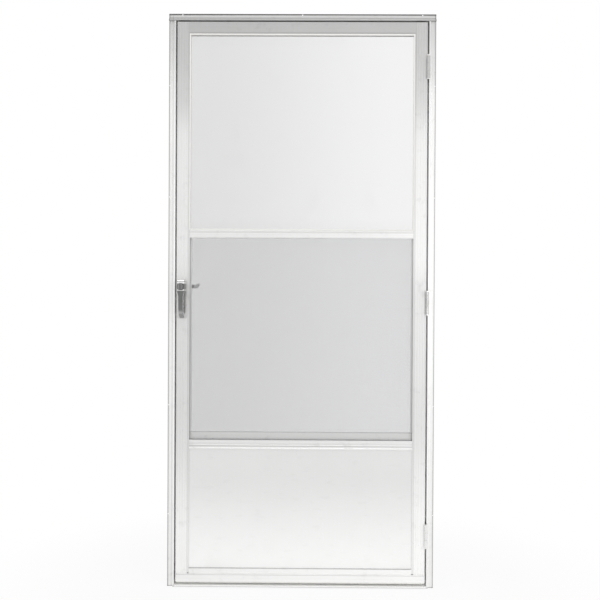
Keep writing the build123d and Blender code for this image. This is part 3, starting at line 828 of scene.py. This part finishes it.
def leaf_metals() -> tuple[Finish, ...]:
    """List the metal of the leaf and of the screen's frame."""
    # Brighter round 1.33 m on the uprights.
    brighter_band = (1.33, 0.34, 0.09)
    # Painted light and shade: darker at the top, lighter lower down, towards +X and on undersides.
    upright_tone = PaintedLight(0.56, 0.75, 1.0, across=0.03, underside=0.95, brighter_band=brighter_band)
    level_tone = PaintedLight(0.50, 0.84, 0.96, across=0.04, underside=0.95)
    # Painted shade on the recessed screen bars, a little lighter towards +X.
    bar_tone = PaintedLight(0.66, 0.66, 0.66, across=0.02)
    # Painted shade lines along the stiles' inner edges.
    upright_shade_lines = tuple(
        ShadeLine("X", side * spot, 0.0023, loss)
        for side in (-1, 1)
        for spot, loss in ((0.3855, 0.13), (0.3805, 0.12))
    )
    # Painted shade lines along the rails' edges and joints.
    level_shade_lines = (
        ShadeLine("Z", 1.8862, 0.0024, 0.16),
        ShadeLine("Z", 1.2098, 0.0020, 0.13),
        ShadeLine("Z", 0.5042, 0.0024, 0.48),
        ShadeLine("Z", 0.4908, 0.0050, 0.10),
        ShadeLine("Z", 0.4823, 0.0022, 0.32),
        ShadeLine("Z", 0.4755, 0.0028, 0.12),
        ShadeLine("Z", 0.0664, 0.0030, 0.58),
        ShadeLine("Z", 0.0437, 0.0024, 0.18),
    )
    # A painted shade line on the screen's bottom bar.
    bar_shade_lines = (ShadeLine("Z", 0.5278, 0.0024, 0.16),)
    return (
        MillAluminium("mill_upright", Run.UPRIGHT, upright_tone, upright_shade_lines),
        MillAluminium("mill_level", Run.LEVEL, level_tone, level_shade_lines),
        MillAluminium("screen_bar", Run.LEVEL, bar_tone, bar_shade_lines),
        SheetAluminium("kick_sheet"),
    )


def hardware_metals() -> tuple[Finish, ...]:
    """List the metal of the hinges, the handle and the screws."""
    # Painted light: the hinges lighter towards the foot.
    hinge_tone = PaintedLight(0.64, 0.64, 1.0, foot_band=(0.50, 0.15))
    casting_pits = Layer(300.0)
    casting_depth = 0.00006
    # Painted highlights on the pull: its top, over and under the button and its lower grip.
    rubs_and_highlights = (
        PaintedHighlight(1.0462, 0.0058, 0.97),
        PaintedHighlight(1.0367, 0.0032, 0.97),
        PaintedHighlight(1.0123, 0.0030, 0.70),
        PaintedHighlight(0.9180, 0.0300, 0.42),
    )
    return (
        PlatedMetal("hinge_metal", (0.88, 0.88, 0.87), 0.24, rust=0.2, painted_light=hinge_tone),
        PlatedMetal("bright_steel", (0.90, 0.90, 0.89), 0.24, rust=0.05),
        PlatedMetal("back_plate_metal", (0.62, 0.62, 0.61), 0.28),
        # The pull's sides painted lighter under 1.002 m: painted light.
        PlatedMetal(
            "handle_casting", (0.18, 0.184, 0.18), 0.27, casting_pits, casting_depth,
            rubs_and_highlights=rubs_and_highlights, sides=PaintedSideLight(0.60, 1.002),
        ),
        PlatedMetal("case_casting", (0.20, 0.205, 0.20), 0.27, casting_pits, casting_depth),
        # The button's sides painted lighter: painted light.
        PlatedMetal(
            "button_polish", (0.19, 0.19, 0.19), 0.18, Layer(500.0), 0.00002,
            sides=PaintedSideLight(0.5, 1.1),
        ),
        PlatedMetal("screw_steel", (0.58, 0.58, 0.57), 0.30, rust=0.35),
    )


def soft_finishes() -> tuple[Finish, ...]:
    """List the glass, the vinyl, the pile and the wire."""
    return (
        PaneGlass("pane_glass"),
        SoftVinyl("bead_vinyl"),
        SoftVinyl("sweep_vinyl", Run.LEVEL, (0.97, 0.97, 0.955)),
        WovenPile("pile_weave"),
        ScreenWire("screen_wire"),
    )


class Finishes:
    """Every finish of the door, made once and handed out by name."""

    def __init__(self) -> None:
        """Build the materials of all the finishes."""
        recipes = (*frame_metals(), *leaf_metals(), *hardware_metals(), *soft_finishes())
        self.materials = {recipe.name: recipe.make() for recipe in recipes}

    def dress(self, piece: bpy.types.Object, name: str) -> None:
        """Give a piece one finish in place of all that it has."""
        piece.data.materials.clear()
        piece.data.materials.append(self.materials[name])

    def dress_nodes(self, finish_of: Mapping[str, str]) -> None:
        """Give each of the part's own pieces its finish.

        Args:
            finish_of: the finish's name for each node's name.
        """
        for node, finish in finish_of.items():
            self.dress(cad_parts[node], finish)
            log.info("%s in %s", node, finish)


def mesh_piece(
    name: str, points: Sequence[Sequence[float]], faces: Sequence[Sequence[int]]
) -> bpy.types.Object:
    """Make a linked mesh object with flat faces.

    Args:
        name: the piece's name.
        points: corners in metres.
        faces: corner numbers of each face.

    Returns:
        The new object.
    """
    mesh = bpy.data.meshes.new(name)
    mesh.from_pydata(points, [], faces)
    mesh.update()
    piece = bpy.data.objects.new(name, mesh)
    bpy.context.scene.collection.objects.link(piece)
    return piece


def prism_faces(first: int, ring: Sequence[int]) -> list[tuple[int, ...]]:
    """Give the faces of a prism whose second ring of corners follows its first.

    Args:
        first: the number of its first corner.
        ring: the corners of one ring, in turn round it.

    Returns:
        Its sides, then both ends.
    """
    near = [first + corner for corner in ring]
    far = [corner + len(ring) for corner in near]
    sides = zip(near, near[1:] + near[:1], far[1:] + far[:1], far)
    return [*sides, tuple(reversed(near)), tuple(far)]


@dataclass
class CrossScrew:
    """A domed screw head with a cross recess, turned from its profile and cut once."""

    radius: float = 0.0036
    height: float = 0.0017
    recess: float = 0.0009
    slot: float = 0.0009
    segments: int = 28
    dome_steps: int = 7
    rim_share: float = 0.25
    arm_share: float = 0.62
    arm_taper: float = 0.6
    arm_lid: float = 0.002
    weld: float = 1e-6
    mesh: bpy.types.Mesh | None = None

    def shape(self) -> bpy.types.Mesh:
        """Turn the head, cut the cross and keep the mesh for every copy.

        Returns:
            The head, its seat at the origin and its top towards +Z.
        """
        if self.mesh is None:
            self.mesh = self._cut(self._turned())
            self.mesh.name = "cross_screw"
        return self.mesh

    def _turned(self) -> bpy.types.Object:
        """Turn the head's profile about Z.

        Returns:
            The head without its cross.
        """
        body = bmesh.new()
        profile = [body.verts.new((self.radius, 0.0, 0.0))]
        for step in range(self.dome_steps + 1):
            angle = math.pi / 2 * step / self.dome_steps
            reach = self.radius * math.cos(angle)
            rise = self.rim_share + (1.0 - self.rim_share) * math.sin(angle)
            profile.append(body.verts.new((reach, 0.0, self.height * rise)))
        edges = [body.edges.new(pair) for pair in zip(profile, profile[1:])]
        bmesh.ops.spin(
            body, geom=profile + edges, cent=(0, 0, 0), axis=(0, 0, 1), angle=2 * math.pi,
            steps=self.segments,
        )
        bmesh.ops.remove_doubles(body, verts=body.verts, dist=self.weld)
        bmesh.ops.holes_fill(body, edges=body.edges)
        bmesh.ops.recalc_face_normals(body, faces=body.faces)
        mesh = bpy.data.meshes.new("screw_head")
        body.to_mesh(mesh)
        body.free()
        head = bpy.data.objects.new("screw_head", mesh)
        bpy.context.scene.collection.objects.link(head)
        return head

    def _cut(self, head: bpy.types.Object) -> bpy.types.Mesh:
        """Cut the cross into a head and remove the head and its tools.

        Args:
            head: the head without its cross.

        Returns:
            The mesh of the cut head.
        """
        tools = [self._arm(turn) for turn in (0.0, math.pi / 2)]
        for tool in tools:
            cut = head.modifiers.new("cross", "BOOLEAN")
            cut.operation = "DIFFERENCE"
            cut.object = tool
        bpy.context.view_layer.update()
        graph = bpy.context.evaluated_depsgraph_get()
        mesh = bpy.data.meshes.new_from_object(head.evaluated_get(graph))
        for spent in (head, *tools):
            bpy.data.objects.remove(spent)
        return mesh

    def _arm(self, turn: float) -> bpy.types.Object:
        """Make one arm of the cross as a tapered block.

        Args:
            turn: its angle about the screw's axis.

        Returns:
            The block.
        """
        reach = self.radius * self.arm_share
        half = self.slot / 2
        floor = self.height - self.recess
        lid = self.height + self.arm_lid
        ring = ((-1, -1), (1, -1), (1, 1), (-1, 1))
        points = [
            (side * reach * share, end * half * share, level)
            for share, level in ((self.arm_taper, floor), (1.0, lid))
            for side, end in ring
        ]
        block = mesh_piece("cross_arm", points, prism_faces(0, range(len(ring))))
        block.data.transform(Matrix.Rotation(turn, 4, "Z"))
        return block

    def fix(
        self, name: str, spot: Vector, out: Vector, body: str, finishes: Finishes, turn: float
    ) -> None:
        """Put one screw in place.

        Args:
            name: the screw's own name.
            spot: the middle of its seat, in metres.
            out: the way its head faces.
            body: the moving body that it rides on.
            finishes: where its finish comes from.
            turn: how far its cross is turned.
        """
        screw = bpy.data.objects.new(name, self.shape().copy())
        bpy.context.scene.collection.objects.link(screw)
        facing = out.to_track_quat("Z", "Y").to_matrix().to_4x4()
        screw.data.transform(Matrix.Translation(spot) @ facing @ Matrix.Rotation(turn, 4, "Z"))
        finishes.dress(screw, "screw_steel")
        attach(screw, body)


@dataclass
class OuterFrame:
    """The nail-fin frame, its pile strips and the strike with its screws."""

    body: str = "frame"
    screw_spread: float = 0.022
    screw_turn: float = 0.4
    finish_of: ClassVar[Mapping[str, str]] = {
        "latch_jamb": "frame_upright",
        "hinge_jamb": "frame_upright",
        "frame_head": "frame_level",
        "frame_sill": "sill_metal",
        "weatherstrip_latch": "pile_weave",
        "weatherstrip_hinge": "pile_weave",
        "weatherstrip_head": "pile_weave",
        "strike_plate": "hinge_metal",
    }

    def build(self, finishes: Finishes, screw: CrossScrew) -> None:
        """Dress the frame and screw the strike on.

        Args:
            finishes: the door's finishes.
            screw: the screw that is copied.
        """
        finishes.dress_nodes(self.finish_of)
        low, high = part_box("strike_plate")
        middle = (low + high) / 2
        out = Vector((0, 1, 0))
        for number, side in enumerate((-1, 1)):
            spot = Vector((middle.x, high.y, middle.z + side * self.screw_spread))
            name = f"strike_screw_{number}"
            screw.fix(name, spot, out, self.body, finishes, self.screw_turn)


@dataclass
class HingeSet:
    """Three butt hinges with the screws in both of their plates."""

    places: tuple[str, ...] = ("top", "middle", "bottom")
    body_of: ClassVar[Mapping[str, str]] = {"hinge_frame_leaf": "frame", "hinge_door_leaf": "leaf"}
    screw_spread: float = 0.026
    screw_turns: tuple[float, ...] = (0.3, 1.0, 1.7)
    plate_middle: float = -0.002
    frame_face: float = 0.4275
    leaf_face: float = 0.426

    def build(self, finishes: Finishes) -> None:
        """Dress the hinges and screw their plates on.

        Args:
            finishes: the door's finishes.
        """
        flat = CrossScrew(radius=0.0032, height=0.0005, recess=0.0004, slot=0.0008)
        for place in self.places:
            finishes.dress_nodes({f"hinge_pin_{place}": "bright_steel"})
            for kind, body in self.body_of.items():
                finishes.dress_nodes({f"{kind}_{place}": "hinge_metal"})
                self._screws(place, kind, body, flat, finishes)

    def _screws(
        self, place: str, kind: str, body: str, screw: CrossScrew, finishes: Finishes
    ) -> None:
        """Put three screws in one plate, on the face that shows when the door is open.

        Args:
            place: which hinge.
            kind: which half of it.
            body: the body that it rides on.
            screw: the screw that is copied.
            finishes: the door's finishes.
        """
        on_frame = body == "frame"
        face = self.frame_face if on_frame else self.leaf_face
        out = Vector((-1 if on_frame else 1, 0, 0))
        low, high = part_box(f"{kind}_{place}")
        middle = (low.z + high.z) / 2
        for number, (step, turn) in enumerate(zip((-1, 0, 1), self.screw_turns)):
            spot = Vector((face, self.plate_middle, middle + step * self.screw_spread))
            screw.fix(f"{kind}_{place}_screw_{number}", spot, out, body, finishes, turn)


@dataclass
class DoorLeaf:
    """The hollow stiles and rails with the pane, bead, kick panel, expander and sweep."""

    body: str = "leaf"
    edge: float = 0.424
    screw_heights: tuple[float, ...] = (0.479, 0.495, 1.198, 1.209, 1.896, 1.912)
    screw_turn: float = 0.5
    finish_of: ClassVar[Mapping[str, str]] = {
        "latch_stile": "mill_upright",
        "hinge_stile": "mill_upright",
        "top_rail": "mill_level",
        "meeting_rail": "mill_level",
        "lock_rail": "mill_level",
        "bottom_rail": "mill_level",
        "kick_panel": "kick_sheet",
        "upper_glass": "pane_glass",
        "glazing_bead": "bead_vinyl",
        "bottom_expander": "mill_level",
        "bottom_sweep": "sweep_vinyl",
    }

    def build(self, finishes: Finishes) -> None:
        """Dress the leaf and put in the screws that hold its rails.

        Args:
            finishes: the door's finishes.
        """
        finishes.dress_nodes(self.finish_of)
        screw = CrossScrew(radius=0.003, height=0.0011, recess=0.0006, slot=0.0008)
        for side, label in ((-1, "latch"), (1, "hinge")):
            out = Vector((side, 0, 0))
            for number, height in enumerate(self.screw_heights):
                spot = Vector((side * self.edge, 0.0, height))
                name = f"rail_screw_{label}_{number}"
                screw.fix(name, spot, out, self.body, finishes, self.screw_turn * number)


@dataclass
class InsectScreen:
    """The screen's thin frame and its crossed wires, one layer each way."""

    body: str = "leaf"
    wire: float = 0.00033
    layer_share: float = 0.45
    across_pitch: float = INCH / 18
    up_pitch: float = INCH / 16
    points: list[Point] = field(default_factory=list)
    faces: list[tuple[int, ...]] = field(default_factory=list)
    finish_of: ClassVar[Mapping[str, str]] = {
        "screen_bottom_rail": "screen_bar",
        "screen_top_rail": "screen_bar",
        "screen_side_latch": "mill_upright",
        "screen_side_hinge": "mill_upright",
    }

    def build(self, finishes: Finishes) -> None:
        """Dress the frame and weave the wires in place of the plain sheet.

        Args:
            finishes: the door's finishes.
        """
        finishes.dress_nodes(self.finish_of)
        low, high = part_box("screen_mesh")
        middle = (low.y + high.y) / 2
        shift = self.wire * self.layer_share
        for x in self._spots(low.x, high.x, self.across_pitch):
            self._add_wire((x, low.z), (x, high.z), middle - shift)
        for z in self._spots(low.z, high.z, self.up_pitch):
            self._add_wire((low.x, z), (high.x, z), middle + shift)
        wires = mesh_piece("screen_wires", self.points, self.faces)
        finishes.dress(wires, "screen_wire")
        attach(wires, self.body)
        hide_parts("screen_mesh")
        log.info("screen woven")

    def _spots(self, low: float, high: float, pitch: float) -> list[float]:
        """Space wires evenly, with what is left over shared by both edges.

        Args:
            low: one edge.
            high: the other edge.
            pitch: the space from wire to wire.

        Returns:
            Where the wires lie.
        """
        count = int((high - low) / pitch)
        start = (low + high - count * pitch) / 2
        return [start + step * pitch for step in range(count + 1)]

    def _add_wire(self, start: Span, end: Span, depth: float) -> None:
        """Add one straight wire with a diamond section.

        Args:
            start: across and up where the wire starts.
            end: across and up where it ends.
            depth: how far in it lies.
        """
        half = self.wire / 2
        upright = start[0] == end[0]
        first = len(self.points)
        for x, z in (start, end):
            for side, deep in ((-half, 0.0), (0.0, -half), (half, 0.0), (0.0, half)):
                shift_x = side if upright else 0.0
                shift_z = 0.0 if upright else side
                self.points.append((x + shift_x, depth + deep, z + shift_z))
        ring = (0, 1, 2, 3) if upright else (3, 2, 1, 0)
        self.faces += prism_faces(first, ring)


@dataclass
class HandleSet:
    """The pull with its button outside, and the case with its lever inside."""

    body: str = "leaf"
    screw_inset: float = 0.009
    screw_sink: float = 0.0002
    screw_turn: float = 0.9
    finish_of: ClassVar[Mapping[str, str]] = {
        "handle_plate": "back_plate_metal",
        "pull_handle": "handle_casting",
        "push_button": "button_polish",
        "latch_case": "case_casting",
        "latch_bolt": "hinge_metal",
        "lever_pin": "hinge_metal",
        "inside_lever": "bright_steel",
    }

    def build(self, finishes: Finishes, screw: CrossScrew) -> None:
        """Dress the handle and screw its inside case on.

        Args:
            finishes: the door's finishes.
            screw: the screw that is copied.
        """
        finishes.dress_nodes(self.finish_of)
        low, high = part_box("latch_case")
        middle = (low.x + high.x) / 2
        out = Vector((0, 1, 0))
        for number, height in enumerate((low.z + self.screw_inset, high.z - self.screw_inset)):
            spot = Vector((middle, high.y - self.screw_sink, height))
            name = f"case_screw_{number}"
            screw.fix(name, spot, out, self.body, finishes, self.screw_turn * number)


@dataclass(frozen=True)
class Lamp:
    """A soft square lamp, with its places and side in metres and its power in watts."""

    name: str
    spot: Point
    target: Point
    side: float
    power: float

    def hang(self) -> None:
        """Hang the lamp and turn it to its target."""
        data = bpy.data.lights.new(self.name, "AREA")
        data.size = self.side
        data.energy = self.power
        lamp = bpy.data.objects.new(self.name, data)
        lamp.location = self.spot
        aim = Vector(self.target) - Vector(self.spot)
        lamp.rotation_euler = aim.to_track_quat("-Z", "Y").to_euler()
        bpy.context.scene.collection.objects.link(lamp)


@dataclass
class Studio:
    """A pale floor, soft light and the camera that took the picture."""

    distance: float = 3.2
    eye_height: float = 1.0061
    eye_across: float = 0.0254
    pitch: float = math.radians(-0.458)
    yaw: float = math.radians(0.529)
    roll: float = math.radians(0.294)
    lens: float = 56.286
    film_width: float = 36.0
    floor_half: float = 14.0
    floor_level: float = -0.0005
    surround: float = 0.97
    overhead: float = 0.75
    overhead_band: Span = (0.15, 0.9)
    side_gain: float = 0.12
    lamps: tuple[Lamp, ...] = (
        Lamp("key_lamp", (1.7, -3.0, 1.1), (0.0, 0.0, 1.0), 1.2, 8.0),
        Lamp("top_lamp", (0.0, -0.9, 3.6), (0.0, -0.9, 0.0), 1.8, 16.0),
    )

    def build(self) -> None:
        """Set the stage, the lights and the camera."""
        self._world()
        self._floor()
        for lamp in self.lamps:
            lamp.hang()
        self._camera()
        bpy.context.scene.view_settings.view_transform = "Standard"
        log.info("studio")

    def _world(self) -> None:
        """Light the room, dimmer overhead, with a white background."""
        world = bpy.data.worlds.new("room")
        bpy.context.scene.world = world
        world.use_nodes = True
        paint = Paint(world.node_tree)
        way = paint.node("ShaderNodeTexCoord", output="Generated")
        up, side = (
            paint.node("ShaderNodeSeparateXYZ", inputs={"Vector": way}, output=name)
            for name in ("Z", "X")
        )
        level = up.band(*self.overhead_band).between(self.surround, self.surround * self.overhead)
        level = level * (1.0 + self.side_gain * side)
        light, white = (
            paint.node("ShaderNodeBackground", inputs={"Color": WHITE, "Strength": strength})
            for strength in (level, 1.0)
        )
        shown = paint.either(paint.seen(), light, white)
        paint.node("ShaderNodeOutputWorld", inputs={"Surface": shown})

    def _floor(self) -> None:
        """Lay the floor just under the door."""
        half = self.floor_half
        corners = ((-half, -half), (half, -half), (half, half), (-half, half))
        points = [(*corner, self.floor_level) for corner in corners]
        floor = mesh_piece("floor", points, [(0, 1, 2, 3)])
        floor.data.materials.append(FloorPaint("floor_paint").make())

    def _camera(self) -> None:
        """Stand the camera where the picture was taken."""
        data = bpy.data.cameras.new("camera")
        data.lens = self.lens
        data.sensor_width = self.film_width
        camera = bpy.data.objects.new("camera", data)
        stand = Matrix.Translation((self.eye_across, -self.distance, self.eye_height))
        tilt = Matrix.Rotation(math.pi / 2 + self.pitch, 4, "X")
        turn = Matrix.Rotation(self.yaw, 4, "Z")
        camera.matrix_world = stand @ turn @ tilt @ Matrix.Rotation(self.roll, 4, "Z")
        bpy.context.scene.collection.objects.link(camera)
        bpy.context.scene.camera = camera


def main() -> None:
    """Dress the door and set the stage."""
    logging.basicConfig(level=logging.INFO, format="%(name)s: %(message)s")
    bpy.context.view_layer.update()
    finishes = Finishes()
    screw = CrossScrew()
    OuterFrame().build(finishes, screw)
    HingeSet().build(finishes)
    DoorLeaf().build(finishes)
    InsectScreen().build(finishes)
    HandleSet().build(finishes, screw)
    Studio().build()


if __name__ == "__main__":
    main()
